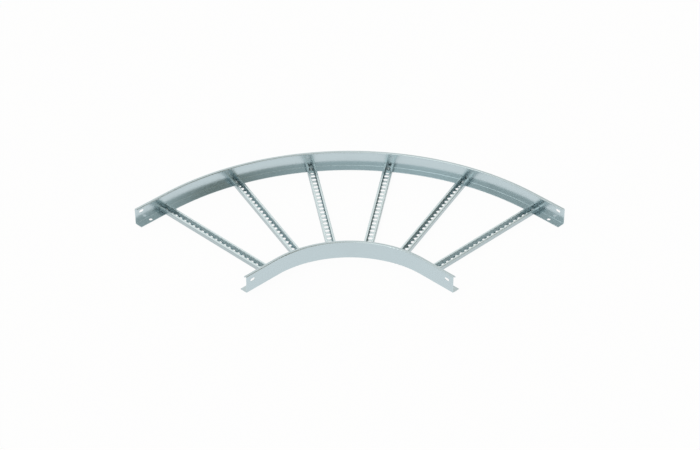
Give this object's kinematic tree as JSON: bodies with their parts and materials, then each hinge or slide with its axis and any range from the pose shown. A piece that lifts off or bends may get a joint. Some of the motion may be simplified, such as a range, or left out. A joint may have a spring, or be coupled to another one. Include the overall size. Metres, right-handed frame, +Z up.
{
  "type": "cable ladder bend",
  "caption": "Flat 90 degree cable ladder bend: curved channel side rails, slotted rungs riveted between them, joint slots and bolt holes at both straight ends.",
  "frame": {"origin": "middle of the bounding box, on the plane that the side rails stand on", "axes": "+Z up; the ladder's straight ends run out along -Y at the +X side and along -X at the +Y side, so the bend's centre lies towards -X and -Y"},
  "size_m": [0.923, 0.923, 0.0565],
  "materials": {
    "rail_steel": "galvanised, satin",
    "rung_steel": "galvanised, satin",
    "rivet_steel": "galvanised, satin"
  },
  "bodies": {
    "root": {"inner_rail": "rail_steel", "outer_rail": "rail_steel", "rung_1": "rung_steel", "rung_2": "rung_steel", "rung_3": "rung_steel", "rung_4": "rung_steel", "rung_5": "rung_steel", "rung_6": "rung_steel", "inner_rivet_1": "rivet_steel", "outer_rivet_1": "rivet_steel", "inner_rivet_2": "rivet_steel", "outer_rivet_2": "rivet_steel", "inner_rivet_3": "rivet_steel", "outer_rivet_3": "rivet_steel", "inner_rivet_4": "rivet_steel", "outer_rivet_4": "rivet_steel", "inner_rivet_5": "rivet_steel", "outer_rivet_5": "rivet_steel", "inner_rivet_6": "rivet_steel", "outer_rivet_6": "rivet_steel"}
  },
  "joints": []
}
